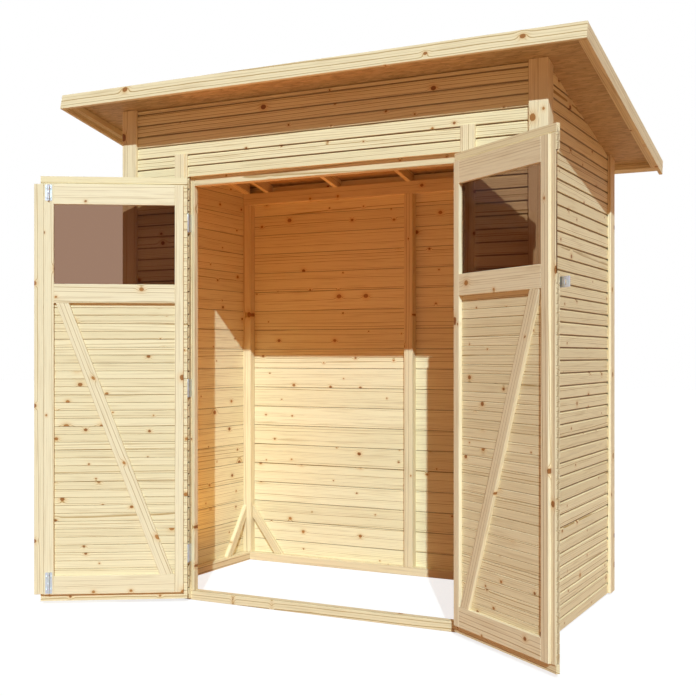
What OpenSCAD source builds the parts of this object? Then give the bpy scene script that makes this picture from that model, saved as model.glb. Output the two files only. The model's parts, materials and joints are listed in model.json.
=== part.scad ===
// Garden shed with a lean-to roof and a double door, standing on its own timber frame.
// Front is -Y, back is +Y, ground level is Z = 0. Origin: middle of the front sill's underside.
// Sizes are in millimetres.

/* [House] */
// Width of the house over its cladding
house_w = 1890; // [1700:10:2400]
// Depth of the house over its cladding
house_d = 970; // [800:10:1600]
// Thickness of the wall cladding
clad_t = 19; // [15:1:25]
// Height of the cladding's lower edge above the ground
clad_lift = 9; // [5:1:25]

/* [Frame timber] */
// Depth of the frame timber, square to the wall
frame_d = 42; // [36:1:60]
// Height of the sill and the bottom plates
plate_h = 39; // [30:1:60]
// Width of the posts and jambs, along the wall
post_w = 44; // [36:1:60]
// Depth of the jambs, square to the wall
jamb_d = 28; // [22:1:42]
// Height of the front plate and the back rail
rail_h = 60; // [45:1:80]
// Height of the rafters and the side rails
rafter_h = 46; // [40:1:70]
// Thickness of a rafter
rafter_t = 22; // [18:1:40]
// Number of rafters
rafter_count = 5; // [4:1:6]
// Distance of the outer rafters' middles from the side frames
rafter_edge = 100; // [60:5:200]
// Height of a rafter over the higher edge of the front plate and the back rail
rafter_seat = 45; // [25:1:46]
// Height of a corner brace up its post
brace_rise = 240; // [150:5:400]
// Length of a corner brace along its plate
brace_run = 175; // [120:5:300]
// Width of a corner brace
brace_w = 38; // [30:1:50]
// Thickness of a corner brace
brace_t = 20; // [15:1:30]

/* [Trim] */
// Thickness of the corner and door trims
trim_t = 15; // [12:1:18]
// Width of a corner trim on the front and the back
corner_face_w = 74; // [60:1:90]
// Width of a corner trim on the sides
corner_side_w = 67; // [55:1:90]
// Width of the door trim's proud strip
door_trim_w = 49; // [40:1:60]
// Width of the door trim's low strip, beside the door
door_bead_w = 10; // [8:1:20]
// Thickness of the door trim's low strip
door_bead_t = 8; // [6:1:9]
// Gap between the doorway's edge and the door trim
door_trim_gap = 4; // [3.5:0.5:8]
// Rise of the door trims over the doorway's upper edge
door_trim_rise = 97; // [40:1:150]

/* [Roof] */
// Slope of the roof, in degrees
roof_pitch = 12; // [8:0.5:15]
// Overhang of the roof in front of the cladding
roof_front_over = 188; // [120:2:260]
// Overhang of the roof behind the cladding
roof_back_over = 114; // [90:2:200]
// Overhang of the roof beside the cladding
roof_side_over = 204; // [80:2:300]
// Height of the front fascia and the barge boards
fascia_h = 63; // [55:1:90]
// Thickness of the fascias and barge boards
fascia_t = 15; // [12:1:22]
// Height of the rear fascia
rear_fascia_h = 45; // [40:1:54]
// Thickness of the roof deck
deck_t = 16; // [12:1:18]
// Thickness of the roofing felt
felt_t = 3; // [2:0.5:4]
// Width of the battens under the roof's edges
batten_w = 28; // [20:1:40]
// Height of the battens under the roof's edges
batten_h = 26; // [18:1:34]

/* [Doorway] */
// Height of the door head
head_h = 83; // [60:1:100]
// Lap of a closed leaf over the door head
head_lap = 28; // [15:1:40]
// Lap of a closed leaf over its jamb
jamb_lap = 11; // [8:1:20]
// Gap between a closed leaf and the boards over the doorway
header_gap = 10; // [6:1:20]
// Height of the boards over the doorway, at the front
header_h = 306; // [240:2:500]

/* [Doors] */
// Width of a door leaf
leaf_w = 609; // [500:1:700]
// Height of a door leaf's boards
leaf_h = 1780; // [1500:5:2000]
// Height of the leaves above the ground
leaf_lift = 15; // [12:1:25]
// Thickness of a leaf's boards
leaf_board_t = 14; // [12:1:18]
// Thickness of a leaf's inner frame
leaf_frame_t = 15; // [12:1:20]
// Opening of the left door at rest, in degrees from closed
left_open = 148; // [90:1:152]
// Opening of the right door at rest, in degrees from closed
right_open = 144; // [90:1:152]
// Gap between a closed leaf and the house
door_clear = 5; // [5:0.5:8]
// Gap between the two closed leaves
meet_gap = 6; // [5:0.5:10]
// Distance of the hinge axis in front of the leaf's outer face
knuckle_off = 6; // [5.6:0.1:8]
// Thickness of a hinge's plates
hinge_t = 2; // [1.5:0.1:2.2]

/* [Door frame] */
// Width of the hinge stile
hinge_stile_w = 36; // [30:1:70]
// Width of the free stile
free_stile_w = 41; // [36:1:60]
// Thickness of the lip that carries the active leaf's free stile on to the leaf's edge
stile_lip_t = 4; // [3:0.5:6]
// Height of the top rail
top_rail_h = 86; // [60:1:110]
// Height of the window opening
window_h = 333; // [250:1:420]
// Height of the middle rail
mid_rail_h = 80; // [60:1:110]
// Height of the bottom rail
bottom_rail_h = 77; // [60:1:110]
// Width of a leaf's diagonal brace
leaf_brace_w = 50; // [36:1:70]
// Distance of the diagonal brace's ends from the stiles
leaf_brace_inset = 8; // [4:1:30]
// Thickness of the window glass
glass_t = 4; // [3:0.5:6]
// Lap of the window glass over the rails above and below it
glass_lap = 33; // [20:1:45]

/* [Ironwork] */
// Width of the stop strip on the passive leaf
stop_w = 39; // [34:1:50]
// Part of the stop strip that lies on the passive leaf
stop_seat = 15; // [12:1:20]
// Distance of the stop strip's ends from the inner frame's ends
stop_inset = 2; // [0:1:20]
// Width of a bolt plate
bolt_plate_w = 29; // [24:1:34]
// Height of the upper bolt plate
top_bolt_h = 67; // [50:1:100]
// Height of the lower bolt plate
low_bolt_h = 88; // [60:1:120]
// Thickness of plates
plate_t = 2; // [1.5:0.5:3]
// Diameter of a bolt's rod
rod_d = 9; // [7:0.5:11]
// Height of the hasp
hasp_h = 36; // [24:1:50]
// Reach of the hasp past the leaf's free edge
hasp_reach = 43; // [34:1:70]
// Length of the hasp on its leaf
hasp_seat = 48; // [36:1:70]
// Height of a hinge
hinge_h = 76; // [60:1:100]
// Diameter of a hinge's knuckle
knuckle_d = 10; // [8:0.5:10.5]

/* [Hidden] */

$fn = 48;

// Wood, glass and metal as they look in daylight
spruce = "#ecdcb4";
spruce_shade = "#d9c096";
board_wood = "#c9a878";
felt_grey = "#4a4a4c";
glass_tint = [0.42, 0.36, 0.34, 0.5];
zinc = "#cfd2d4";

// Planes of the house: outer and inner faces of the cladding, inner faces of the frame
front_y = -clad_t - frame_d / 2;
front_in_y = front_y + clad_t;
front_room_y = front_in_y + frame_d;
back_y = front_y + house_d;
back_in_y = back_y - clad_t;
back_room_y = back_in_y - frame_d;
side_x = house_w / 2;
side_in_x = side_x - clad_t;
side_room_x = side_in_x - frame_d;
post_in_x = side_in_x - post_w;

// Doorway: a closed leaf laps the jambs, the head and the sill, and lies level with the cladding
leaf_edge_x = meet_gap / 2 + leaf_w;
doorway_x = leaf_edge_x - jamb_lap;
door_edge_x = leaf_edge_x + door_clear;
door_trim_x = door_edge_x + door_trim_gap;
leaf_top = leaf_lift + leaf_h;
header_z = leaf_top + header_gap;
head_z = leaf_top - head_lap;

// Roof frame: it starts at the upper front edge and slopes down to the back
roof_front_y = front_y - roof_front_over;
roof_len = (house_d + roof_front_over + roof_back_over) / cos(roof_pitch);
roof_skin_t = felt_t + deck_t;
roof_front_top = header_z + header_h + roof_skin_t / cos(roof_pitch) + roof_front_over * tan(roof_pitch);
roof_half = side_x + roof_side_over;
deck_half = roof_half - fascia_t;
sky = roof_front_top + roof_len;
board_joint = 0.5;
rafter_pitch = 2 * (side_room_x - rafter_edge) / (rafter_count - 1);
// Level of the deck's underside at a place along Y
function under_z(y) = roof_front_top - (y - roof_front_y) * tan(roof_pitch) - roof_skin_t / cos(roof_pitch);
front_plate_top = under_z(front_in_y) - rafter_seat;
back_rail_top = under_z(back_room_y) - rafter_seat;

// Hinge axis, in front of the gap between a closed leaf and the cladding
hinge_x = leaf_edge_x + door_clear / 2;
hinge_y = front_y - knuckle_off;

// A leaf's own frame: a runs along it from the hinge axis, b from the axis towards the room
board_b = knuckle_off;
frame_b = board_b + leaf_board_t;
room_b = frame_b + leaf_frame_t;
leaf_a0 = door_clear / 2;
leaf_a1 = leaf_a0 + leaf_w;
frame_z0 = plate_h + door_clear;
frame_z1 = head_z - door_clear;
window_z1 = frame_z1 - top_rail_h;
window_z0 = window_z1 - window_h;
glass_z0 = window_z0 - glass_lap;
glass_z1 = window_z1 + glass_lap;
mid_rail_z0 = window_z0 - mid_rail_h;
bottom_rail_z1 = frame_z0 + bottom_rail_h;
stile_a0 = leaf_a0 + jamb_lap + door_clear;
stile_a1 = stile_a0 + hinge_stile_w;
// The stop reaches past the passive leaf's edge; the active leaf's stile and lip stay clear of it
stop_reach = stop_w - stop_seat;
stop_lap_b = frame_b + stile_lip_t + door_clear;
passive_free_a = leaf_a1 - stop_seat - board_joint;
active_free_a = leaf_a1 - (stop_reach - meet_gap) - door_clear;
hinge_inset = 150;
hinge_levels = [leaf_lift + hinge_inset, leaf_lift + leaf_h / 2 - hinge_h / 2,
  leaf_top - hinge_inset - hinge_h];
knuckle_gap = 0.5;
strap_t = 3;
hasp_z = mid_rail_z0 + hasp_h / 2;
// A bolt's rod lies in a shallow groove of its plate
rod_axis = plate_t / 2 + rod_d / 2;
// A hasp's strap runs clear in front of the passive leaf
hasp_b = board_b - door_clear;

// A box from two corners
module slab(low, high) { translate(low) cube(high - low); }

// Everything below the underside of the roof deck
module under_deck() {
  in_roof() slab([-roof_half, -roof_len, -sky], [roof_half, 2 * roof_len, -roof_skin_t]);
}

// Moves children from the roof's own frame: X across, Y down the slope, Z = 0 at the upper face
module in_roof() {
  translate([0, roof_front_y, roof_front_top]) rotate([-roof_pitch, 0, 0]) children();
}

// A wall or post that runs up to the roof deck
module up_to_deck() {
  intersection() {
    children();
    under_deck();
  }
}

module mirrored() {
  mirror([1, 0, 0]) children();
}

// Moves children from a leaf's own frame to the house: X along the leaf from the hinge axis,
// Y from the hinge axis towards the room, Z up. side is -1 for the left leaf, 1 for the right
module hung(side) {
  translate([side * hinge_x, hinge_y, 0]) rotate([0, 0, side > 0 ? right_open : -left_open])
    mirror([side > 0 ? 1 : 0, 0, 0]) children();
}

// Frame on the ground

module front_sill() {
  color(spruce) slab([-side_in_x, front_in_y, 0], [side_in_x, front_room_y, plate_h]);
}

module side_plate() {
  slab([-side_in_x, front_room_y, 0], [-side_room_x, back_room_y, plate_h]);
}

module side_plates() {
  color(spruce) {
    side_plate();
    mirrored() side_plate();
  }
}

module back_plate() {
  color(spruce) slab([-side_in_x, back_room_y, 0], [side_in_x, back_in_y, plate_h]);
}

// Cladding

module front_side_wall() {
  up_to_deck() slab([-side_x, front_y, clad_lift], [-door_edge_x, front_in_y, sky]);
}

module front_left_wall() {
  color(spruce) front_side_wall();
}

module front_right_wall() {
  color(spruce) mirrored() front_side_wall();
}

module front_header() {
  color(spruce) up_to_deck() slab([-door_edge_x, front_y, header_z], [door_edge_x, front_in_y, sky]);
}

module side_wall() {
  up_to_deck() slab([-side_x, front_in_y, clad_lift], [-side_in_x, back_in_y, sky]);
}

module left_wall() {
  color(spruce) side_wall();
}

module right_wall() {
  color(spruce) mirrored() side_wall();
}

module back_wall() {
  color(spruce) up_to_deck() slab([-side_x, back_in_y, clad_lift], [side_x, back_y, sky]);
}

// Corner trims: two boards in an L round each corner, drawn for the left side

module corner_trim(y_corner, way) {
  up_to_deck() translate([0, 0, clad_lift]) linear_extrude(sky) polygon([
    [-side_x - trim_t, y_corner - way * trim_t],
    [-side_x - trim_t + corner_face_w, y_corner - way * trim_t],
    [-side_x - trim_t + corner_face_w, y_corner],
    [-side_x, y_corner],
    [-side_x, y_corner + way * (corner_side_w - trim_t)],
    [-side_x - trim_t, y_corner + way * (corner_side_w - trim_t)]]);
}

module front_left_trim() {
  color(spruce) corner_trim(front_y, 1);
}

module front_right_trim() {
  color(spruce) mirrored() corner_trim(front_y, 1);
}

module back_left_trim() {
  color(spruce) corner_trim(back_y, -1);
}

module back_right_trim() {
  color(spruce) mirrored() corner_trim(back_y, -1);
}

// Doorway

module jamb() {
  slab([-doorway_x - post_w, front_in_y, plate_h],
    [-doorway_x, front_in_y + jamb_d, front_plate_top - rail_h]);
}

module left_jamb() {
  color(spruce) jamb();
}

module right_jamb() {
  color(spruce) mirrored() jamb();
}

module door_head() {
  color(spruce_shade) slab([-doorway_x, front_in_y, head_z], [doorway_x, front_room_y, head_z + head_h]);
}

// A low strip beside the door and a proud strip beyond it
module door_trim() {
  translate([0, 0, clad_lift]) linear_extrude(header_z + door_trim_rise - clad_lift) polygon([
    [-door_trim_x, front_y],
    [-door_trim_x, front_y - door_bead_t],
    [-door_trim_x - door_bead_w, front_y - door_bead_t],
    [-door_trim_x - door_bead_w, front_y - trim_t],
    [-door_trim_x - door_bead_w - door_trim_w, front_y - trim_t],
    [-door_trim_x - door_bead_w - door_trim_w, front_y]]);
}

module left_door_trim() {
  color(spruce) door_trim();
}

module right_door_trim() {
  color(spruce) mirrored() door_trim();
}

// Wall frame

// Posts stand on the plates and carry the front plate and the back rail
module corner_post(y0, y1, top) {
  slab([-side_in_x, y0, plate_h], [-post_in_x, y1, top]);
}

module corner_posts() {
  rows = [[front_in_y, front_room_y, front_plate_top], [back_room_y, back_in_y, back_rail_top]];
  color(spruce) for (row = rows) {
    corner_post(row[0], row[1], row[2] - rail_h);
    mirrored() corner_post(row[0], row[1], row[2] - rail_h);
  }
}

module back_stud() {
  color(spruce) slab([-post_w / 2, back_room_y, plate_h], [post_w / 2, back_in_y, back_rail_top - rail_h]);
}

module front_top_plate() {
  color(spruce_shade) slab([-side_in_x, front_in_y, front_plate_top - rail_h],
    [side_in_x, front_room_y, front_plate_top]);
}

module back_top_rail() {
  color(spruce_shade) slab([-side_in_x, back_room_y, back_rail_top - rail_h],
    [side_in_x, back_in_y, back_rail_top]);
}

// A rail under the deck, along the head of a side wall
module side_top_rail() {
  intersection() {
    slab([-side_in_x, front_room_y, 0], [-side_room_x, back_room_y, sky]);
    in_roof() slab([-roof_half, 0, -roof_skin_t - rafter_h], [0, roof_len, -roof_skin_t]);
  }
}

module side_top_rails() {
  color(spruce_shade) {
    side_top_rail();
    mirrored() side_top_rail();
  }
}

// A diagonal brace with its ends cut to a post and a plate, both at the origin's corner
module brace_outline() {
  slant = sqrt(brace_rise * brace_rise + brace_run * brace_run);
  polygon([[brace_run, 0], [0, brace_rise],
    [0, brace_rise - brace_w * slant / brace_run], [brace_run - brace_w * slant / brace_rise, 0]]);
}

module back_corner_braces() {
  // on the side wall, against the back post
  translate([-side_in_x, back_room_y, plate_h]) rotate([90, 0, -90])
    mirror([0, 0, 1]) linear_extrude(brace_t) brace_outline();
  // on the back wall, against the same post
  translate([-post_in_x, back_in_y, plate_h]) rotate([90, 0, 0]) linear_extrude(brace_t) brace_outline();
}

module corner_braces() {
  color(spruce) {
    back_corner_braces();
    mirrored() back_corner_braces();
  }
}

// Rafters sit in notches over the front plate and the back rail
module rafters() {
  color(spruce_shade) difference() {
    intersection() {
      slab([-side_x, front_in_y, 0], [side_x, back_in_y, sky]);
      in_roof() for (i = [0 : rafter_count - 1]) {
        x = (i - (rafter_count - 1) / 2) * rafter_pitch;
        slab([x - rafter_t / 2, 0, -roof_skin_t - rafter_h], [x + rafter_t / 2, roof_len, -roof_skin_t]);
      }
    }
    slab([-side_x, front_in_y, 0], [side_x, front_room_y, front_plate_top]);
    slab([-side_x, back_room_y, 0], [side_x, back_in_y, back_rail_top]);
  }
}

// Roof

module roof_deck() {
  color(board_wood) in_roof()
    slab([-deck_half, fascia_t, -roof_skin_t], [deck_half, roof_len - fascia_t, -felt_t]);
}

module roof_felt() {
  color(felt_grey) in_roof()
    slab([-deck_half, fascia_t, -felt_t], [deck_half, roof_len - fascia_t, 0]);
}

module roof_battens() {
  low = -roof_skin_t - batten_h;
  rear = roof_len - fascia_t;
  color(spruce_shade) in_roof() {
    for (side = [-1, 1])
      translate([side * (deck_half - batten_w / 2) - batten_w / 2, 0, 0])
        slab([0, fascia_t, low], [batten_w, rear - batten_w - board_joint, -roof_skin_t]);
    slab([-deck_half, rear - batten_w, low], [deck_half, rear, -roof_skin_t]);
  }
}

module front_fascia() {
  color(spruce) in_roof() slab([-roof_half, 0, -fascia_h], [roof_half, fascia_t, 0]);
}

module rear_fascia() {
  color(spruce) in_roof()
    slab([-deck_half, roof_len - fascia_t, -rear_fascia_h], [deck_half, roof_len, 0]);
}

module barge_board() {
  in_roof() slab([-roof_half, fascia_t, -fascia_h], [-deck_half, roof_len, 0]);
}

module left_barge_board() {
  color(spruce) barge_board();
}

module right_barge_board() {
  color(spruce) mirrored() barge_board();
}

// Butt hinges: a plate on an edge, with knuckles on the axis in front of it. inner is true for the
// half with the middle knuckle, and depth is the thickness of the edge that carries the plate

module hinge_half(inner, depth) {
  third = hinge_h / 3;
  rows = inner ? [[third + knuckle_gap, 2 * third - knuckle_gap]]
    : [[0, third - knuckle_gap], [2 * third + knuckle_gap, hinge_h]];
  slab([leaf_a0 - hinge_t, board_b, 0], [leaf_a0, board_b + depth, hinge_h]);
  for (row = rows) {
    translate([0, 0, row[0]]) cylinder(d = knuckle_d, h = row[1] - row[0]);
    slab([leaf_a0 - hinge_t, 0, row[0]], [leaf_a0, board_b + depth, row[1]]);
  }
}

module leaf_hinges() {
  for (z = hinge_levels) translate([0, 0, z]) hinge_half(true, leaf_board_t);
}

// The fixed halves lie on the edges of the cladding, on the other side of the axis
module hinge_plates() {
  color(zinc) for (side = [-1, 1], z = hinge_levels)
    translate([side * hinge_x, hinge_y, z]) mirror([side < 0 ? 1 : 0, 0, 0]) hinge_half(false, clad_t);
}

// Door leaves, each in its own frame

// The boards: a field below the glass, a field above it and short boards for the hinge beside it
module leaf_boards() {
  slab([leaf_a0, board_b, leaf_lift], [leaf_a1, frame_b, glass_z0 - board_joint]);
  slab([leaf_a0, board_b, glass_z0], [stile_a1, frame_b, glass_z1]);
  slab([leaf_a0, board_b, glass_z1 + board_joint], [leaf_a1, frame_b, leaf_top]);
}

module leaf_stiles(free_a) {
  slab([stile_a0, frame_b, frame_z0], [stile_a1, room_b, frame_z1]);
  slab([free_a - free_stile_w, frame_b, frame_z0], [free_a, room_b, frame_z1]);
}

module leaf_rails(free_a) {
  for (row = [[frame_z0, bottom_rail_z1], [mid_rail_z0, window_z0], [window_z1, frame_z1]])
    slab([stile_a1, frame_b, row[0]], [free_a - free_stile_w, room_b, row[1]]);
}

// The brace rises from the hinge side at the bottom rail to the free side at the middle rail
module leaf_brace(free_a) {
  low_a = stile_a1 + leaf_brace_inset;
  high_a = free_a - free_stile_w - leaf_brace_inset;
  rise = mid_rail_z0 - bottom_rail_z1;
  run = high_a - low_a;
  cut = leaf_brace_w * sqrt(rise * rise + run * run) / rise;
  translate([0, room_b, 0]) rotate([90, 0, 0]) linear_extrude(leaf_frame_t) polygon([
    [low_a, bottom_rail_z1], [low_a + cut, bottom_rail_z1],
    [high_a, mid_rail_z0], [high_a - cut, mid_rail_z0]]);
}

// The sheet lies on the outside of the inner frame and runs out to the leaf's free edge
module leaf_glass() {
  slab([stile_a1, frame_b - glass_t, glass_z0], [leaf_a1, frame_b, glass_z1]);
}

module left_door_boards() {
  color(spruce) hung(-1) leaf_boards();
}

module left_door_stiles() {
  color(spruce) hung(-1) leaf_stiles(passive_free_a);
}

module left_door_rails() {
  color(spruce) hung(-1) leaf_rails(passive_free_a);
}

module left_door_brace() {
  color(spruce) hung(-1) leaf_brace(passive_free_a);
}

module left_door_glass() {
  color(glass_tint) hung(-1) leaf_glass();
}

// A rebated strip: it lies on the passive leaf and laps behind the active one
module left_door_stop() {
  color(spruce) hung(-1) translate([0, 0, frame_z0 + stop_inset])
    linear_extrude(frame_z1 - frame_z0 - 2 * stop_inset) polygon([
      [leaf_a1 - stop_seat, frame_b], [leaf_a1, frame_b],
      [leaf_a1, stop_lap_b], [leaf_a1 + stop_reach, stop_lap_b],
      [leaf_a1 + stop_reach, room_b], [leaf_a1 - stop_seat, room_b]]);
}

// A slide bolt on the free stile: plate, rod and the two straps that hold it
module slide_bolt(z0, height) {
  mid_a = passive_free_a - free_stile_w / 2;
  strap_h = height / 5;
  translate([mid_a, room_b, z0]) {
    slab([-bolt_plate_w / 2, 0, 0], [bolt_plate_w / 2, plate_t, height]);
    translate([0, rod_axis, 0]) cylinder(d = rod_d, h = height);
    for (z = [strap_h / 2, height - 3 * strap_h / 2])
      slab([-rod_d, 0, z], [rod_d, rod_axis + rod_d / 2 + plate_t, z + strap_h]);
  }
}

module left_door_bolts() {
  color(zinc) hung(-1) {
    slide_bolt(frame_z0 + door_clear, low_bolt_h);
    slide_bolt(frame_z1 - door_clear - top_bolt_h, top_bolt_h);
  }
}

module left_door_hinges() {
  color(zinc) hung(-1) leaf_hinges();
}

module right_door_boards() {
  color(spruce) hung(1) leaf_boards();
}

// The free stile has a lip that the passive leaf's stop closes against
module right_door_stiles() {
  color(spruce) hung(1) {
    leaf_stiles(active_free_a);
    slab([active_free_a + board_joint, frame_b, frame_z0], [leaf_a1, frame_b + stile_lip_t, frame_z1]);
  }
}

module right_door_rails() {
  color(spruce) hung(1) leaf_rails(active_free_a);
}

module right_door_brace() {
  color(spruce) hung(1) leaf_brace(active_free_a);
}

module right_door_glass() {
  color(glass_tint) hung(1) leaf_glass();
}

// A slotted strap on a block, reaching past the active leaf's free edge
module right_door_hasp() {
  slot_w = hasp_h / 4;
  color(zinc) hung(1) translate([leaf_a1, 0, hasp_z]) {
    slab([-hasp_seat, hasp_b, -hasp_h / 2], [-hasp_seat / 4, board_b, hasp_h / 2]);
    difference() {
      slab([-hasp_seat, hasp_b - strap_t, -hasp_h / 2], [hasp_reach, hasp_b, hasp_h / 2]);
      slab([hasp_reach / 2 - slot_w / 2, hasp_b - 2 * strap_t, -slot_w],
        [hasp_reach / 2 + slot_w / 2, board_b, slot_w]);
    }
  }
}

module right_door_hinges() {
  color(zinc) hung(1) leaf_hinges();
}

front_sill();
side_plates();
back_plate();
front_left_wall();
front_right_wall();
front_header();
left_wall();
right_wall();
back_wall();
front_left_trim();
front_right_trim();
back_left_trim();
back_right_trim();
left_jamb();
right_jamb();
door_head();
left_door_trim();
right_door_trim();
corner_posts();
back_stud();
front_top_plate();
back_top_rail();
side_top_rails();
corner_braces();
rafters();
roof_deck();
roof_felt();
roof_battens();
front_fascia();
rear_fascia();
left_barge_board();
right_barge_board();
hinge_plates();
left_door_boards();
left_door_stiles();
left_door_rails();
left_door_brace();
left_door_glass();
left_door_stop();
left_door_bolts();
left_door_hinges();
right_door_boards();
right_door_stiles();
right_door_rails();
right_door_brace();
right_door_glass();
right_door_hasp();
right_door_hinges();
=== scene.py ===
import json
import math
from functools import partial
import bpy
import numpy as np
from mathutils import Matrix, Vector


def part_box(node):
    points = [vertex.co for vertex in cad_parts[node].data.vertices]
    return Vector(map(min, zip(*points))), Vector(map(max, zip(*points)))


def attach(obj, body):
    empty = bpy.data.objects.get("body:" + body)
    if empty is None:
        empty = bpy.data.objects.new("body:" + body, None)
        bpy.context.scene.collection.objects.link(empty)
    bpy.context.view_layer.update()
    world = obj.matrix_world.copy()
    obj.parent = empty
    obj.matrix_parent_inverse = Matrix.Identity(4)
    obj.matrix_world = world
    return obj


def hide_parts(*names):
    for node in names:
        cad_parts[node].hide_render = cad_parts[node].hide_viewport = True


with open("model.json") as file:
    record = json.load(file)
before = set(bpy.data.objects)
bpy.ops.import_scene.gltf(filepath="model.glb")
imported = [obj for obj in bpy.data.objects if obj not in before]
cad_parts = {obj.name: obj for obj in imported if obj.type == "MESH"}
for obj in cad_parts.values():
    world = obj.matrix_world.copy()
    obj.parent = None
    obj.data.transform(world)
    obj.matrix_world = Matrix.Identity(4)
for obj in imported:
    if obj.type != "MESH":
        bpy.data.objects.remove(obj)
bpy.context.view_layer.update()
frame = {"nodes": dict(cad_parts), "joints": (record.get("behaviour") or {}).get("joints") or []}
scene = bpy.context.scene
scene.view_settings.view_transform = "Standard"
dice = np.random.default_rng(41)
upward = np.array([0.0, 0.0, 1.0])
print("shed: frame loaded with", len(frame["nodes"]), "nodes")

# camera

cameraView = {
    "place": (2.0974, -3.8361, 1.043),
    "turn": 27.203,  # degrees to the left of straight ahead
    "focalPixels": 1084.02,
    "horizonRow": 355.61,
    "framePixels": 696,
    "sensorWide": 36,  # millimetres
}

cameraData = bpy.data.cameras.new("photoView")
cameraData.sensor_width = cameraView["sensorWide"]
cameraData.lens = cameraView["focalPixels"] / cameraView["framePixels"] * cameraView["sensorWide"]
cameraData.shift_y = cameraView["horizonRow"] / cameraView["framePixels"] - 0.5
camera = bpy.data.objects.new("photoView", cameraData)
camera.location = cameraView["place"]
camera.rotation_euler = (math.pi / 2, 0, math.radians(cameraView["turn"]))
scene.collection.objects.link(camera)
scene.camera = camera
print("shed: camera placed")

# shader helpers


def put(tree, socket, value):  # a link from another socket, or a plain value
    if isinstance(value, bpy.types.NodeSocket):
        tree.links.new(value, socket)
    else:
        socket.default_value = value


def feed(tree, node, values):
    for socket, value in values.items():
        put(tree, node.inputs[socket], value)


def addNode(tree, kind, values=None, **settings):
    node = tree.nodes.new(kind)
    for key, setting in settings.items():
        setattr(node, key, setting)
    feed(tree, node, values or {})
    return node


def calc(tree, operation, *values):
    node = tree.nodes.new("ShaderNodeMath")
    node.operation = operation
    for socket, value in zip(node.inputs, values):
        put(tree, socket, value)
    return node.outputs[0]


def stretch(tree, vector, scale, shift=(0, 0, 0)):  # vector * scale + shift
    return addNode(tree, "ShaderNodeVectorMath", {0: vector, 1: scale, 2: shift},
                   operation="MULTIPLY_ADD").outputs[0]


def mixColour(tree, factor, first, second, blend="MIX"):
    node = addNode(tree, "ShaderNodeMix", data_type="RGBA", blend_type=blend)
    put(tree, node.inputs[0], factor)
    put(tree, node.inputs[6], first)
    put(tree, node.inputs[7], second)
    return node.outputs[2]


def ease(tree, value, low, high, start=0.0, end=1.0):  # smooth step from low to high
    node = addNode(tree, "ShaderNodeMapRange", {0: value, 1: low, 2: high, 3: start, 4: end},
                   interpolation_type="SMOOTHSTEP")
    return node.outputs[0]


def noise(tree, vector, scale, detail=2.0, roughness=0.5):
    values = {"Vector": vector, "Scale": scale, "Detail": detail, "Roughness": roughness}
    return addNode(tree, "ShaderNodeTexNoise", values).outputs[0]


def parts3(tree, vector):
    return addNode(tree, "ShaderNodeSeparateXYZ", {0: vector}).outputs


def objectPlace(tree):
    return addNode(tree, "ShaderNodeTexCoord").outputs["Object"]


def emboss(tree, shader, height, strength, distance):  # a bump that feeds the shader's normal
    bump = addNode(tree, "ShaderNodeBump", {"Height": height, "Strength": strength, "Distance": distance})
    put(tree, shader.inputs["Normal"], bump.outputs["Normal"])


def newGroup(name, inputs, outputs):
    group = bpy.data.node_groups.new(name, "ShaderNodeTree")
    for way, sockets in [("INPUT", inputs), ("OUTPUT", outputs)]:
        for label, kind in sockets.items():
            group.interface.new_socket(label, in_out=way, socket_type="NodeSocket" + kind)
    return group, group.nodes.new("NodeGroupInput").outputs, group.nodes.new("NodeGroupOutput").inputs


def newMaterial(name):
    material = bpy.data.materials.new(name)
    material.use_nodes = True
    tree = material.node_tree
    return material, tree, tree.nodes["Principled BSDF"]


# spruce: growth rings round a pith beside the board, fibres, and knots with the rings bent round them

grainShape = {
    "knotCell": (0.19, 0.1),  # each such cell along and across the grain has room for one knot
    "knotLength": 0.8,  # below 1 a knot is drawn out along the grain
    "knotRagged": 0.003,
    "knotLeast": 0.0028,  # radius of the smallest knot, and what the largest adds
    "knotMore": 0.0075,
    "knotRing": 0.0026,
    "haloReach": 1.7,  # in radii of the knot
    "ringBend": 0.014,  # how far a knot pushes the rings aside
    "ringSway": (0.022, 0.0045),  # slow and quick waver of the rings
    "ringSlope": 0.005,
    "streaks": 0.26,
    "flecks": 0.22,
    "halo": 0.65,
    # painted shade: how strongly the deep part of each groove and joint is darkened
    "dust": 0.7,
    # for red, green and blue: the board's own tone, the fibres, and the base
    "channels": [(0.09, 0.12, 0.9), (0.11, 0.14, 0.88), (0.15, 0.17, 0.84)],
}
grainColour = {
    "fleck": (0.5, 0.33, 0.15, 1),
    "halo": (0.7, 0.38, 0.11, 1),
    "knotDark": (0.15, 0.045, 0.012, 1),
    "knotPale": (0.42, 0.16, 0.04, 1),
    "knotWorn": (0.5, 0.22, 0.06, 1),
    # painted shade: the dark brown laid into the deep part of each groove and joint
    "dust": (0.2, 0.08, 0.02, 1),
}

spruceGrain, given, result = newGroup(
    "spruceGrain",
    {"Grain": "Vector", "Tone": "Float", "Early": "Color", "Late": "Color", "Ring": "Float",
     "Contrast": "Float", "Knots": "Float", "Girth": "Float", "Crevice": "Float"},
    {"Colour": "Color", "Roughness": "Float", "Height": "Float"})
plus, minus, times, ratio, timesPlus, power, root, fraction = (
    partial(calc, spruceGrain, operation) for operation in
    ("ADD", "SUBTRACT", "MULTIPLY", "DIVIDE", "MULTIPLY_ADD", "POWER", "SQRT", "FRACT"))
mix = partial(mixColour, spruceGrain)
step = partial(ease, spruceGrain)


def pattern(scale, detail=2.0):
    return noise(spruceGrain, stretch(spruceGrain, given["Grain"], scale), 1.0, detail)


def reachOf(first, second):  # the root of the sum of two squares
    return root(plus(times(first, first), times(second, second)))


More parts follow.
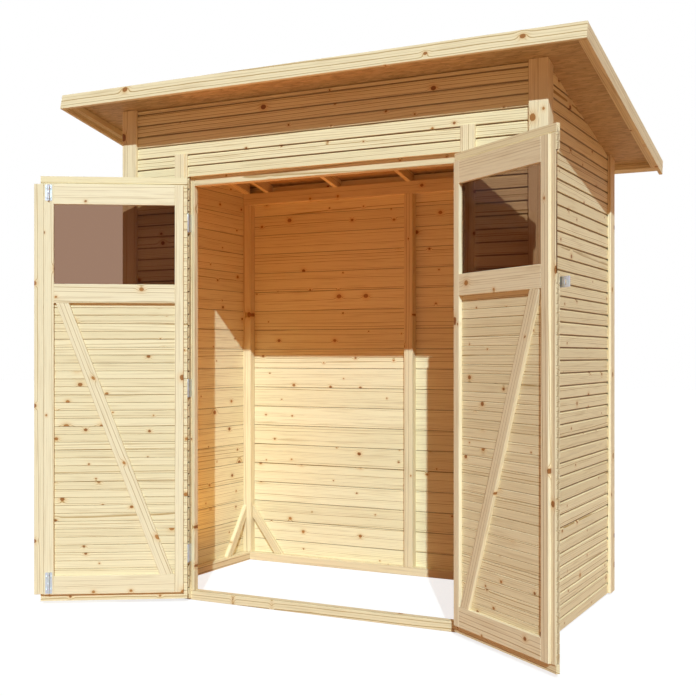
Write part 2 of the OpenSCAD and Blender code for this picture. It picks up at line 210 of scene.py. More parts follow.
along, across, depth = parts3(spruceGrain, given["Grain"])
cellLong, cellWide = grainShape["knotCell"]
cellPlace = stretch(spruceGrain, given["Grain"], (1 / cellLong, 1 / cellWide, 0))
cell = addNode(spruceGrain, "ShaderNodeTexVoronoi", {"Vector": cellPlace, "Scale": 1.0, "Randomness": 0.9},
               voronoi_dimensions="2D")
cellAlong, cellAcross = parts3(spruceGrain, cell.outputs["Position"])[:2]
chance, girth, shade = addNode(spruceGrain, "ShaderNodeSeparateColor", {0: cell.outputs["Color"]}).outputs
knotAlong = times(minus(along, times(cellAlong, cellLong)), grainShape["knotLength"])
knotAcross = minus(across, times(cellAcross, cellWide))
ragged = grainShape["knotRagged"]
uneven = noise(spruceGrain, given["Grain"], 160.0)
knotReach = plus(reachOf(knotAlong, knotAcross), timesPlus(uneven, ragged, -ragged / 2))
present = calc(spruceGrain, "LESS_THAN", chance, given["Knots"])
knotRadius = timesPlus(power(girth, 2.5), grainShape["knotMore"], grainShape["knotLeast"])
knotRadius = times(times(present, given["Girth"]), knotRadius)
knotCore = times(present, step(minus(knotRadius, knotReach), -0.0004, 0.0008))
spread = ratio(knotReach, timesPlus(knotRadius, grainShape["haloReach"], 0.0005))
knotHalo = times(present, calc(spruceGrain, "EXPONENT", times(times(spread, spread), -1.0)))

ringReach = reachOf(across, depth)
for waver, sway in zip([pattern((0.6, 5, 5)), pattern((3.5, 14, 14))], grainShape["ringSway"]):
    ringReach = plus(ringReach, timesPlus(waver, sway, -sway / 2))
ringReach = plus(ringReach, times(along, grainShape["ringSlope"]))
ringReach = plus(ringReach, times(knotHalo, grainShape["ringBend"]))
ringCount = ratio(ringReach, given["Ring"])
ringPart = fraction(ringCount)
ringMark = addNode(spruceGrain, "ShaderNodeTexWhiteNoise", {"W": calc(spruceGrain, "FLOOR", ringCount)},
                   noise_dimensions="1D").outputs["Value"]
lateWood = times(step(ringPart, 0.55, 0.9), step(ringPart, 1.0, 0.95))
streak = step(pattern((4.5, 95, 95)), 0.5, 0.74)
fibre = pattern((7, 260, 260), 3.0)
fleck = step(pattern((22, 420, 420), 1.0), 0.66, 0.78)
lateShare = times(lateWood, timesPlus(power(ringMark, 2.5), 1.3, 0.08))
lateShare = times(given["Contrast"], timesPlus(streak, grainShape["streaks"], lateShare))

wood = mix(lateShare, given["Early"], given["Late"])
wood = mix(times(fleck, grainShape["flecks"]), wood, grainColour["fleck"])
shading = addNode(spruceGrain, "ShaderNodeCombineColor", {
    channel: timesPlus(given["Tone"], byTone, timesPlus(fibre, byFibre, base))
    for channel, (byTone, byFibre, base) in enumerate(grainShape["channels"])}).outputs[0]
wood = mix(1.0, wood, shading, "MULTIPLY")
wood = mix(times(knotHalo, grainShape["halo"]), wood, grainColour["halo"])
knotRings = step(fraction(ratio(knotReach, grainShape["knotRing"])), 0.2, 0.8)
knotWood = mix(knotRings, grainColour["knotDark"], grainColour["knotPale"])
wood = mix(knotCore, wood, mix(shade, knotWood, grainColour["knotWorn"]))
# painted shade: the crevice attribute darkens the deep part of grooves and joints toward this brown
wood = mix(times(given["Crevice"], grainShape["dust"]), wood, grainColour["dust"])
put(spruceGrain, result["Colour"], wood)
put(spruceGrain, result["Roughness"], timesPlus(lateWood, -0.1, timesPlus(fibre, 0.2, 0.55)))
put(spruceGrain, result["Height"], plus(times(lateShare, 0.5), timesPlus(fibre, 0.5, times(knotCore, 0.5))))

# early wood, late wood, width of a growth ring, contrast, share of knots and their girth
spruceSockets = ("Early", "Late", "Ring", "Contrast", "Knots", "Girth")
spruceLook = {
    "claddingSpruce": ((0.96, 0.82, 0.53, 1), (0.5, 0.31, 0.11, 1), 0.0065, 1.0, 0.62, 1.0),
    "trimSpruce": ((0.94, 0.78, 0.52, 1), (0.5, 0.31, 0.12, 1), 0.007, 1.1, 0.6, 1.6),
    "frameSpruce": ((0.89, 0.73, 0.47, 1), (0.47, 0.29, 0.11, 1), 0.007, 1.0, 0.55, 1.1),
    "doorBoardSpruce": ((0.92, 0.77, 0.5, 1), (0.5, 0.31, 0.12, 1), 0.0065, 0.95, 0.62, 1.0),
    "doorTimberSpruce": ((0.93, 0.785, 0.54, 1), (0.52, 0.33, 0.14, 1), 0.007, 0.95, 0.5, 1.3),
}


def spruce(name, look):
    # the grain group on the board's own coordinates, tone and crevice, which are attributes of the mesh; the
    # crevice darkens the grooves with painted shade
    material, tree, shader = newMaterial(name)
    wood = addNode(tree, "ShaderNodeGroup", dict(zip(spruceSockets, look)), node_tree=spruceGrain)
    for socket, output in [("Grain", "Vector"), ("Tone", "Fac"), ("Crevice", "Fac")]:
        source = addNode(tree, "ShaderNodeAttribute", attribute_name=socket.lower())
        put(tree, wood.inputs[socket], source.outputs[output])
    feed(tree, shader, {"Base Color": wood.outputs["Colour"], "Roughness": wood.outputs["Roughness"],
                        "Specular IOR Level": 0.3})
    emboss(tree, shader, wood.outputs["Height"], strength=0.3, distance=0.0008)
    return material


timberOf = {name: spruce(name, look) for name, look in spruceLook.items()}

# bright zinc: a plain metal with faint crystals and drawn streaks in its gloss

zincLook = {
    "bright": (0.62, 0.62, 0.66, 1),
    "dull": (0.42, 0.42, 0.46, 1),
    "crystals": 260.0,  # for each metre
    "streaks": 900.0,
}

zinc, tree, shader = newMaterial("brightZinc")
place = objectPlace(tree)
crystal = addNode(tree, "ShaderNodeTexVoronoi", {"Vector": place, "Scale": zincLook["crystals"]})
drawn = noise(tree, stretch(tree, place, (1, 1, 0.08)), zincLook["streaks"])
tint = mixColour(tree, 0.12, zincLook["bright"], crystal.outputs["Color"])
tint = mixColour(tree, calc(tree, "MULTIPLY", drawn, 0.25), tint, zincLook["dull"])
gloss = calc(tree, "MULTIPLY_ADD", drawn, 0.25, 0.27)
feed(tree, shader, {"Base Color": tint, "Roughness": gloss, "Metallic": 1.0})

# mineral felt: dark bitumen with slate granules

feltLook = {
    "bitumen": (0.028, 0.028, 0.031, 1),
    "slate": (0.13, 0.128, 0.13, 1),
    "weathered": (0.075, 0.073, 0.07, 1),
    "granules": 480.0,  # for each metre
}

felt, tree, shader = newMaterial("mineralFelt")
place = objectPlace(tree)
granule = addNode(tree, "ShaderNodeTexVoronoi", {"Vector": place, "Scale": feltLook["granules"]})
weather = noise(tree, place, 2.2, 4.0, 0.6)
grit = parts3(tree, granule.outputs["Color"])[0]
base = mixColour(tree, ease(tree, grit, 0.3, 1.0), feltLook["bitumen"], feltLook["slate"])
base = mixColour(tree, ease(tree, weather, 0.35, 0.75, 0.0, 0.5), base, feltLook["weathered"])
feed(tree, shader, {"Base Color": base, "Roughness": calc(tree, "MULTIPLY_ADD", grit, 0.2, 0.75)})
emboss(tree, shader, calc(tree, "SUBTRACT", 1.0, granule.outputs["Distance"]), strength=0.6, distance=0.0012)

# strand board: three lays of long flakes, turned against each other, each flake with its own tone

strandLook = {
    "flake": (0.045, 0.009),  # length and width
    "lays": [(0.25, (0, 0, 0)), (-0.6, (3.1, 7.7, 0)), (1.1, (9.3, 1.4, 0))],  # turn and shift of each
    "covering": 0.55,  # flakes above this share cover the lay below
    "dark": (0.44, 0.27, 0.11, 1),
    "pale": (0.68, 0.47, 0.22, 1),
    "warm": (0.55, 0.33, 0.12, 1),
    "fibre": (0.74, 0.53, 0.29, 1),
    "edge": (0.28, 0.15, 0.055, 1),
}

strandBoard, tree, shader = newMaterial("strandBoard")
place = objectPlace(tree)
flakeLong, flakeWide = strandLook["flake"]
board = None
relief = None
for turn, shift in strandLook["lays"]:
    lie = addNode(tree, "ShaderNodeMapping", {
        "Vector": place, "Location": shift, "Rotation": (0, 0, turn),
        "Scale": (1 / flakeLong, 1 / flakeWide, 0)}).outputs[0]
    flake = addNode(tree, "ShaderNodeTexVoronoi", {"Vector": lie, "Scale": 1.0, "Randomness": 1.0},
                    voronoi_dimensions="2D")
    pick, warm, top = addNode(tree, "ShaderNodeSeparateColor", {0: flake.outputs["Color"]}).outputs
    fibres = noise(tree, stretch(tree, lie, (0.7, 9, 1)), 1.0, 3.0)
    edge = ease(tree, flake.outputs["Distance"], 0.5, 0.75, 0.0, 0.4)
    lay = mixColour(tree, pick, strandLook["dark"], strandLook["pale"])
    lay = mixColour(tree, calc(tree, "MULTIPLY", warm, 0.4), lay, strandLook["warm"])
    lay = mixColour(tree, ease(tree, fibres, 0.35, 0.7, 0.0, 0.35), lay, strandLook["fibre"])
    lay = mixColour(tree, edge, lay, strandLook["edge"])
    over = calc(tree, "GREATER_THAN", top, strandLook["covering"])
    board = lay if board is None else mixColour(tree, over, board, lay)
    raised = calc(tree, "SUBTRACT", pick, flake.outputs["Distance"])
    relief = raised if relief is None else calc(tree, "ADD", relief, calc(tree, "MULTIPLY", over, raised))
feed(tree, shader, {"Base Color": board, "Roughness": calc(tree, "MULTIPLY_ADD", fibres, 0.2, 0.55)})
emboss(tree, shader, relief, strength=0.35, distance=0.0012)

# window glass: clear with a brown tint, faintly smeared

glassLook = {
    "tint": (0.335, 0.203, 0.14, 1),
    "bending": 1.14,
    "smears": (0.015, 0.07),  # roughness of the clean and the smeared glass
}

tintedGlass, tree, shader = newMaterial("tintedGlass")
smear = noise(tree, stretch(tree, objectPlace(tree), (3, 3, 1)), 4.0, 4.0, 0.65)
feed(tree, shader, {"Base Color": glassLook["tint"], "Transmission Weight": 1.0, "IOR": glassLook["bending"],
                    "Roughness": ease(tree, smear, 0.45, 0.8, *glassLook["smears"])})
print("shed: materials made")

# shapes: every piece is built of rings of points joined into closed surfaces

sawing = {
    "start": (1, 40),  # where along its trunk a board begins
    "pithAside": (0.02, 0.17),
    "pithBelow": (0.02, 0.06),
    "endEasing": 0.6,  # of a bar's rounding
    # over this depth the painted shade in grooves and joints comes to full strength
    "grooveShadeFade": 0.001,
}


def loft(rings, joined=False):
    # rings[k, j] is point j of ring k; neighbours are joined by quads, and the first and last ring
    # are capped, or joined to each other. Faces are turned so that the volume is positive
    count, around = rings.shape[:2]
    verts = rings.reshape(-1, 3)
    row = np.arange(count - (not joined))[:, None] * around
    col = np.arange(around)[None, :]
    nextRow = (row + around) % (count * around)
    nextCol = (col + 1) % around
    quads = np.stack([row + col, row + nextCol, nextRow + nextCol, nextRow + col], -1).reshape(-1, 4)
    caps = [] if joined else [np.arange(around)[::-1], np.arange(around) + (count - 1) * around]
    fans = [np.stack([np.full(around - 2, cap[0]), cap[1:-1], cap[2:]], -1) for cap in caps]
    tris = np.concatenate([quads[:, :3], quads[:, [0, 2, 3]]] + fans)
    corner = verts[tris] - verts.mean(0)
    volume = np.einsum("ij,ij->", corner[:, 0], np.cross(corner[:, 1], corner[:, 2]))
    if volume < 0:
        quads = quads[:, ::-1]
        caps = [cap[::-1] for cap in caps]
    return {"verts": verts, "faces": [quads] + [cap[None] for cap in caps],
            "grain": np.zeros_like(verts), "tone": 0.5, "crevice": np.zeros(len(verts))}


def paintGrooveShade(part, outline, thick, shadeFromDepth):
    # painted shade lies where a point is more than the given depth below the nearer face, and deepens from
    # there
    depth = np.minimum(outline[:, 1], thick - outline[:, 1])
    part["crevice"] = np.resize(np.clip((depth - shadeFromDepth) / sawing["grooveShadeFade"], 0, 1), len(part["verts"]))
    return part


def sawn(part, length, width, thick):
    # board coordinates in metres, from a pith that lies beside the board, and the board's own tone
    start = dice.uniform(*sawing["start"])
    sense = dice.choice([-1.0, 1.0])
    aside = dice.choice([-1.0, 1.0]) * dice.uniform(*sawing["pithAside"])
    below = dice.uniform(*sawing["pithBelow"])
    part["grain"] = np.stack([sense * length + start, width + aside, thick + below], -1).reshape(-1, 3)
    part["tone"] = dice.uniform(0, 1)
    return part


def roundedRectangle(width, height, rounding, steps=3):
    # a quarter arc at each corner, from the arc's own centre
    turn = (np.arange(4)[:, None] + np.linspace(0, 1, steps + 1)[None]).ravel() * math.pi / 2
    right = np.repeat([1, -1, -1, 1], steps + 1)
    above = np.repeat([1, 1, -1, -1], steps + 1)
    return np.stack([right * (width / 2 - rounding) + rounding * np.cos(turn),
                     above * (height / 2 - rounding) + rounding * np.sin(turn)], -1)


def timber(points, rounding=0.0025):
    # a bar through the eight corners of a solid: a rounded rectangle carried from end to end,
    # with its ends eased; a point is the two-way blend of the four corners at each end
    middle = points.mean(0)
    axes = np.linalg.svd(points - middle)[2]
    order = np.argsort((points - middle) @ axes[0])
    foot = points[order[:4]]
    head = points[order[4:]]
    flat = (foot - foot.mean(0)) @ axes[1:].T
    foot = foot[np.argsort(np.arctan2(flat[:, 1], flat[:, 0]))]
    apart = ((foot - foot.mean(0))[:, None] - (head - head.mean(0))[None]) @ axes[1:].T
    head = head[np.argmin((apart ** 2).sum(-1), 1)]
    width = np.linalg.norm(foot[1] - foot[0])
    height = np.linalg.norm(foot[3] - foot[0])
    length = np.linalg.norm(head - foot, axis=1).mean()
    rounding = min(rounding, 0.2 * min(width, height))
    inset = sawing["endEasing"] * rounding
    full = roundedRectangle(width, height, rounding)
    eased = roundedRectangle(width - 2 * inset, height - 2 * inset, inset)
    section = np.stack([eased, full, full, eased])
    share = section / (width, height) + 0.5
    p = share[..., :1]
    q = share[..., 1:]
    t = np.array([0, inset / length, 1 - inset / length, 1])[:, None, None]
    blend = np.concatenate([(1 - p) * (1 - q), p * (1 - q), p * q, (1 - p) * q], -1)
    rings = (1 - t) * (blend @ foot) + t * (blend @ head)
    long = np.broadcast_to(t[..., 0] * length, section.shape[:2])
    wide, thin = (section[..., 0], section[..., 1]) if width > height else (section[..., 1], section[..., 0])
    return sawn(loft(rings), long, wide, thin)


def nodeSolids(node):
    # the corner points of each separate solid: triangles that share a corner take its lowest number
    mesh = frame["nodes"][node].data
    flat = np.empty(len(mesh.vertices) * 3, np.float32)
    mesh.vertices.foreach_get("co", flat)
    corner = np.empty(len(mesh.loops), np.int32)
    mesh.loops.foreach_get("vertex_index", corner)
    points, same = np.unique(np.round(flat.reshape(-1, 3).astype(float), 5), axis=0, return_inverse=True)
    tris = same.reshape(-1)[corner].reshape(-1, 3)
    label = np.arange(len(points))
    settled = False
    while not settled:
        lower = label.copy()
        np.minimum.at(lower, tris.ravel(), np.repeat(label[tris].min(1), 3))
        settled = bool((lower == label).all())
        label = lower
    return [points[label == number] for number in np.unique(label)]


def levelsOf(values):  # the different values, lowest first, to a tenth of a millimetre
    return np.unique(np.round(values, 4))


def piece(name, parts, material, body, slot, *nodes, smooth=False):
    # all parts in one mesh, with each point's grain, tone and painted groove shade as attributes
    verts = np.concatenate([part["verts"] for part in parts])
    starts = np.cumsum([0] + [len(part["verts"]) for part in parts[:-1]])
    faces = [face for part, start in zip(parts, starts) for block in part["faces"]
             for face in (block + start).tolist()]
    mesh = bpy.data.meshes.new(name)
    mesh.from_pydata(verts.tolist(), [], faces)
    tones = [np.full(len(part["verts"]), part["tone"]) for part in parts]
    fields = [("grain", "FLOAT_VECTOR", "vector", [part["grain"] for part in parts]),
              ("tone", "FLOAT", "value", tones),
              ("crevice", "FLOAT", "value", [part["crevice"] for part in parts])]
    for label, kind, field, values in fields:
        attribute = mesh.attributes.new(label, kind, "POINT")
        attribute.data.foreach_set(field, np.concatenate(values).astype(np.float32).ravel())
    mesh.materials.append(material)
    if smooth:
        mesh.shade_smooth()
        mesh.set_sharp_from_angle(angle=math.radians(32))
    made = bpy.data.objects.new(name, mesh)
    scene.collection.objects.link(made)
    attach(made, body)
    if nodes:
        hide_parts(*nodes)


def pieceName(node, ending):
    words = node.split("_")
    return words[0] + "".join(word.capitalize() for word in words[1:]) + ending


def boxCorners(x, y, z):  # the eight points at the two values of each direction
    return np.stack(np.meshgrid(x, y, z, indexing="ij"), -1).reshape(-1, 3).astype(float)


sideWall = nodeSolids("left_wall")[0]
wallFront = sideWall[:, 1].min()
wallBack = sideWall[:, 1].max()
frontTop = sideWall[sideWall[:, 1] == wallFront, 2].max()
backTop = sideWall[sideWall[:, 1] == wallBack, 2].max()
roofFall = (frontTop - backTop) / (wallBack - wallFront)


def roofUnder(y):  # the roof's underside falls evenly from the top of the front wall
    return frontTop - (np.asarray(y) - wallFront) * roofFall


# wall boards: horizontal boards with two shadow grooves each outside and a fine joint inside

wallBoards = {
    "cover": 0.097,
    "lines": 2,  # grooves on each board's face
    "grooveTall": 0.01,
    "grooveDeep": 0.0045,
    "grooveFlat": 0.0085,
    "gapTall": 0.005,  # the narrow gap at the top of a groove
    "gapDeep": 0.002,
    "lip": 0.0008,
    "insideJoint": 0.0011,
    "insideSlot": 0.0012,  # half the open joint on the inside, and its depth
    "slotDeep": 0.006,
    "clearBelow": 0.002,  # plain face that is left below and above a groove
    "clearAbove": 0.003,
    "leastTall": 0.004,  # no row of boards is lower than this, or shorter than the next value
    "leastLong": 0.003,
}


def insideOutline(look, low, high, thick, below, above):
    # height and depth down the inside: half an open joint with a chamfer where another board follows
    fine, slot, deep = (look[key] for key in ("insideJoint", "insideSlot", "slotDeep"))
    head = [(high, thick - deep), (high - slot, thick - deep), (high - slot, thick - fine),
            (high - slot - fine, thick)]
    foot = [(low + slot + fine, thick), (low + slot, thick - fine), (low + slot, thick - deep),
            (low, thick - deep)]
    return (head if above else [(high, thick)]) + (foot if below else [(low, thick)])


def wallProfile(low, high, thick, below, above):
    # height and depth of a board's outline: up the face with its grooves, then down the inside
    look = wallBoards
    names = ("grooveTall", "grooveDeep", "grooveFlat", "lip", "gapTall")
    tall, deep, ledge, lip, gap = (look[name] for name in names)
    core = deep + look["gapDeep"]
    pitch = look["cover"] / look["lines"]
    groove = np.array([(-tall, 0), (-ledge, deep), (-gap, deep), (-gap, core), (0, core), (0, lip), (lip, 0)])
    lowest = low + tall + look["clearBelow"]
    lines = np.arange(math.floor(lowest / pitch) + 1, math.ceil((high - look["clearAbove"]) / pitch)) * pitch
    face = [groove[-3:] + (low, 0)] if below else [[(low, 0)]]
    face += [groove + (line, 0) for line in lines[lines > lowest]]
    face += [groove[:5] + (high, 0)] if above else [[(high, 0)]]
    return np.concatenate(face + [insideOutline(look, low, high, thick, below, above)])


def wallBoard(corner, run, inward, low, high, joints, thick, endOf, grid):
    # one board: its outline carried along the wall to the end at each height
    outline = wallProfile(low - grid, high - grid, thick, *joints)
    z = outline[:, 0] + grid
    ends = np.stack([np.zeros_like(z), endOf(z)])
    rings = corner + ends[..., None] * run + outline[None, :, 1:] * inward + z[None, :, None] * upward
    wide = np.broadcast_to(z - (low + high) / 2, ends.shape)
    thin = np.broadcast_to(outline[:, 1], ends.shape)
    # the deep gap of each groove is darkened with painted shade
    return paintGrooveShade(sawn(loft(rings), ends, wide, thin), outline, thick, wallBoards["grooveDeep"])


def boardRows(low, high, grid):
    # the rows between two heights on a grid of joints: (low, high, joint below, joint above)
    cover = wallBoards["cover"]
    least = wallBoards["leastTall"]
    first = math.floor((low - grid) / cover + 1e-6)
    cuts = grid + cover * np.arange(first + 1, math.ceil((high - grid) / cover - 1e-6))
    cuts = cuts[(cuts > low + least) & (cuts < high - least)]
    edges = np.concatenate([[low], cuts, [high]])
    onGrid = np.abs((edges - grid) / cover - np.round((edges - grid) / cover)) < 1e-4
    onGrid &= edges > grid + 1e-6
    return [(edges[k], edges[k + 1], onGrid[k], onGrid[k + 1]) for k in range(len(edges) - 1)]


def wallOf(corner, run, inward, length, low, high, thick, grid, sloped=False):
    # a wall's boards from the foot up; under a slope each height ends where it meets the roof
    def endOf(z):
        if sloped:
            return np.clip((frontTop - z) / roofFall, wallBoards["leastLong"], length)
        return np.full_like(z, length)

    lie = [np.array(vector) for vector in (corner, run, inward)]
    return [wallBoard(*lie, rowLow, rowHigh, (below, above), thick, endOf, grid)
            for rowLow, rowHigh, below, above in boardRows(low, high, grid)]


leftLow, leftHigh = (np.array(v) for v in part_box("front_left_wall"))
rightLow, rightHigh = (np.array(v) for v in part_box("front_right_wall"))
headerLow, headerHigh = (np.array(v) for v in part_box("front_header"))
backLow, backHigh = (np.array(v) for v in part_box("back_wall"))
wallThick = leftHigh[1] - leftLow[1]
wallFoot = leftLow[2]
frontFace = leftLow[1]
eaves = float(min(roofUnder(frontFace), roofUnder(frontFace + wallThick)))
overDoor = wallFoot + wallBoards["cover"] * math.ceil((headerLow[2] - wallFoot) / wallBoards["cover"])
frontParts = []
for x0, x1, low, high in [
        (leftLow[0], leftHigh[0], wallFoot, overDoor), (rightLow[0], rightHigh[0], wallFoot, overDoor),
        (headerLow[0], headerHigh[0], headerLow[2], overDoor), (leftLow[0], rightHigh[0], overDoor, eaves)]:
    frontParts += wallOf((x0, frontFace, 0), (1, 0, 0), (0, 1, 0), x1 - x0, low, high, wallThick, wallFoot)
piece("frontWallBoards", frontParts, timberOf["claddingSpruce"], "shed", "cladding",
      "front_left_wall", "front_right_wall", "front_header")

backParts = wallOf((backHigh[0], backHigh[1], 0), (-1, 0, 0), (0, -1, 0), backHigh[0] - backLow[0],
                   wallFoot, float(roofUnder(backHigh[1])), wallThick, wallFoot)
piece("backWallBoards", backParts, timberOf["claddingSpruce"], "shed", "cladding", "back_wall")

for name, node, face, inward in [("leftWallBoards", "left_wall", leftLow[0], 1.0),
                                 ("rightWallBoards", "right_wall", rightHigh[0], -1.0)]:
    parts = wallOf((face, wallFront, 0), (0, 1, 0), (inward, 0, 0), wallBack - wallFront, wallFoot,
                   float(frontTop), wallThick, wallFoot, sloped=True)
    piece(name, parts, timberOf["claddingSpruce"], "shed", "cladding", node)
print("shed: wall boards made")

# timber that is a plain bar in the frame: each keeps its solid's corners and gets eased edges

plainTimber = {
    "frameSpruce": {
        "slot": "frame_timber",
        "rounding": 0.0025,
        "nodes": ["front_sill", "side_plates", "back_plate", "left_jamb", "right_jamb", "door_head",
                  "corner_posts", "back_stud", "front_top_plate", "back_top_rail", "side_top_rails",
                  "corner_braces", "roof_battens"],
    },
    "trimSpruce": {
        "slot": "trim",
        "rounding": 0.002,
        "nodes": ["front_fascia", "rear_fascia", "left_barge_board", "right_barge_board"],
    },
}


def barPieces(nodes, rounding, look, body, slot):
    for node in nodes:
        parts = [timber(solid, rounding) for solid in nodeSolids(node)]
        piece(pieceName(node, "Timber"), parts, timberOf[look], body, slot, node)


for look, bars in plainTimber.items():
    barPieces(bars["nodes"], bars["rounding"], look, "shed", bars["slot"])

# rafters: the notched outline of each rafter carried through its thickness

roundRafter = [1, 0, 3, 2, 4, 5, 6, 7]  # from the corners' order front to back to that round the notches
rafterParts = []
for solid in nodeSolids("rafters"):
    sides = np.unique(solid[:, 0])
    outline = solid[solid[:, 0] == sides[0]][:, 1:]
    outline = outline[np.lexsort((outline[:, 1], outline[:, 0]))][roundRafter]
    rings = np.stack([np.column_stack([np.full(len(outline), x), outline]) for x in sides])
    long = np.broadcast_to(outline[:, 0], rings.shape[:2])
    wide = np.broadcast_to(outline[:, 1] - roofUnder(outline[:, 0]), rings.shape[:2])
    rafterParts.append(sawn(loft(rings), long, wide, rings[..., 0] - sides[0]))
piece("rafterTimber", rafterParts, timberOf["frameSpruce"], "shed", "frame_timber", "rafters")

# corner trims: a face board and a side board that butts against its back


def leaningBox(x, y, low):  # an upright box whose top follows the roof
    points = boxCorners(x, y, (low, low + 1))
    top = points[:, 2] > low
    points[top, 2] = roofUnder(points[top, 1])
    return points


for node in ["front_left_trim", "front_right_trim", "back_left_trim", "back_right_trim"]:
    solid = nodeSolids(node)[0]
    x = levelsOf(solid[:, 0])
    y = levelsOf(solid[:, 1])
    low = solid[:, 2].min()
    y = y if "front" in node else y[::-1]
    outer = x[:2] if "left" in node else x[1:]
    parts = [timber(leaningBox(x[[0, 2]], y[:2], low)), timber(leaningBox(outer, y[1:], low))]
    piece(pieceName(node, "Boards"), parts, timberOf["trimSpruce"], "shed", "trim", node)

# door trims: a proud strip with a thin bead along the doorway

doorTrim = {"stripRounding": 0.0025, "beadRounding": 0.0015}

for node, side in [("left_door_trim", -1), ("right_door_trim", 1)]:
    solid = nodeSolids(node)[0]
    x = levelsOf(solid[:, 0] * side) * side
    y = levelsOf(solid[:, 1])
    z = (solid[:, 2].min(), solid[:, 2].max())
    parts = [timber(boxCorners(x[1:], y[[0, 2]], z), doorTrim["stripRounding"]),
             timber(boxCorners(x[:2], y[1:], z), doorTrim["beadRounding"])]
    piece(pieceName(node, "Strips"), parts, timberOf["trimSpruce"], "shed", "trim", node)
print("shed: frame timber and trims made")

# door leaves, each worked out in its own frame: a from the hinge axis to the free edge, b inwards

doorBoards = {
    "cover": 0.033,
    "outsideJoint": 0.0024,
    "insideJoint": 0.0016,
    "insideSlot": 0.0005,  # half the open joint on the inside, and its depth
    "slotDeep": 0.005,
}
doorTimber = {
    "rounding": 0.002,
    "lipRounding": 0.0015,
    "lipIn": 0.0004,  # the stop strip's lip stands back by this, and reaches into the strip
    "lipInto": 0.004,
}


def leafFrame(side):
    # the hinge axis, and the directions of a and b at rest, turned from the shut leaf's by its opening
    name = ("right" if side > 0 else "left") + "_door_hinge"
    joint = [row for row in frame["joints"] if row["name"] == name][0]
    turn = math.radians(-joint["range_deg"][0])
    runA = np.array([-side * math.cos(turn), -math.sin(turn), 0])
    runB = np.array([-side * math.sin(turn), math.cos(turn), 0])
    return np.array([joint["pos_m"][0], joint["pos_m"][1], 0.0]), runA, runB


def toLeaf(side, points):  # a and b are the distances from the axis along the two directions
    origin, runA, runB = leafFrame(side)
    return np.stack([(points - origin) @ runA, (points - origin) @ runB, points[:, 2]], -1)


def fromLeaf(side, points):  # the axis plus a and b times the two directions
    origin, runA, runB = leafFrame(side)
    return origin + points[..., :1] * runA + points[..., 1:2] * runB + points[..., 2:] * upward


def leafProfile(low, high, thick, below, above):
    # height and depth of a narrow board: chamfered joints on both faces, and open ones on the inside
    out = doorBoards["outsideJoint"]
    face = [(low, out), (low + out, 0)] if below else [(low, 0)]
    face += [(high - out, 0), (high, out)] if above else [(high, 0)]
    return np.array(face + insideOutline(doorBoards, low, high, thick, below, above))


def leafBoard(side, a0, a1, b0, thick, low, high, below, above):
    # one board: its outline carried from the hinge edge to its other end
    outline = leafProfile(low, high, thick, below, above)
    ends = np.array([a0, a1])[:, None] * np.ones(len(outline))
    points = np.stack([ends, np.broadcast_to(outline[:, 1] + b0, ends.shape),
                       np.broadcast_to(outline[:, 0], ends.shape)], -1)
    board = sawn(loft(fromLeaf(side, points)), ends, points[..., 2] - (low + high) / 2, points[..., 1] - b0)
    # the open inside joints are darkened with painted shade
    return paintGrooveShade(board, outline, thick, doorBoards["insideJoint"])


for side, leaf in [(-1, "left_door"), (1, "right_door")]:
    whole = np.concatenate([toLeaf(side, solid) for solid in nodeSolids(leaf + "_boards")])
    pane = toLeaf(side, nodeSolids(leaf + "_glass")[0])
    a0, b0, z0 = whole.min(0)
    a1, b1, z1 = whole.max(0)
    paneStart, paneLow, paneHigh = pane[:, 0].min(), pane[:, 2].min(), pane[:, 2].max()
    parts = []
    for low, high, end in [(z0, paneLow, a1), (paneLow, paneHigh, paneStart), (paneHigh, z1, a1)]:
        edges = np.linspace(low, high, round((high - low) / doorBoards["cover"]) + 1)
        parts += [leafBoard(side, a0, end, b0, b1 - b0, bottom, top, bottom > z0, top < z1)
                  for bottom, top in zip(edges[:-1], edges[1:])]
    piece(pieceName(leaf, "LeafBoards"), parts, timberOf["doorBoardSpruce"], leaf, "door_boards",
          leaf + "_boards")
    barPieces([leaf + "_stiles", leaf + "_rails", leaf + "_brace"], doorTimber["rounding"],
              "doorTimberSpruce", leaf, "door_timber")

stop = toLeaf(-1, nodeSolids("left_door_stop")[0])
stopA = levelsOf(stop[:, 0])
stopB = levelsOf(stop[:, 1])
stopZ = (stop[:, 2].min(), stop[:, 2].max())
strip = boxCorners(stopA[[0, 2]], stopB[1:], stopZ)
stripLip = boxCorners(stopA[:2] + (doorTimber["lipIn"], 0), stopB[:2] + (0, doorTimber["lipInto"]), stopZ)
stopParts = [timber(fromLeaf(-1, strip), doorTimber["rounding"]),
             timber(fromLeaf(-1, stripLip), doorTimber["lipRounding"])]
piece("leftDoorStopStrip", stopParts, timberOf["doorTimberSpruce"], "left_door", "door_timber",
      "left_door_stop")
print("shed: door leaves made")

# ironwork

ironwork = {
    "plateRounding": 0.003,
    "plateEdge": 0.0005,
    "screwHead": 0.0035,
    "screwRise": 0.0012,
    "screwSunk": 0.001,
}


def stacked(side, outlines, heights, axis, joined=False):
    # outlines across an axis, one at each height along it; side 0 is the world's own frame
    points = np.insert(outlines, axis, np.array(heights)[:, None], -1)
    return loft(fromLeaf(side, points) if side else points, joined)


def plate(side, low, high, normal, rounding=None):
    # a rounded rectangle raised through its thickness along one of the three directions, with eased rims
    low = np.array(low, float)
    high = np.array(high, float)
    flat = [k for k in range(3) if k != normal]
    rim = ironwork["plateEdge"]
    corner = rounding or ironwork["plateRounding"]
    size = (high - low)[flat]
    full = roundedRectangle(*size, corner)
    eased = roundedRectangle(*(size - 2 * rim), corner - rim / 2)
    heights = [low[normal], low[normal] + rim, high[normal] - rim, high[normal]]
    return stacked(side, np.stack([eased, full, full, eased]) + (low + high)[flat] / 2, heights, normal)


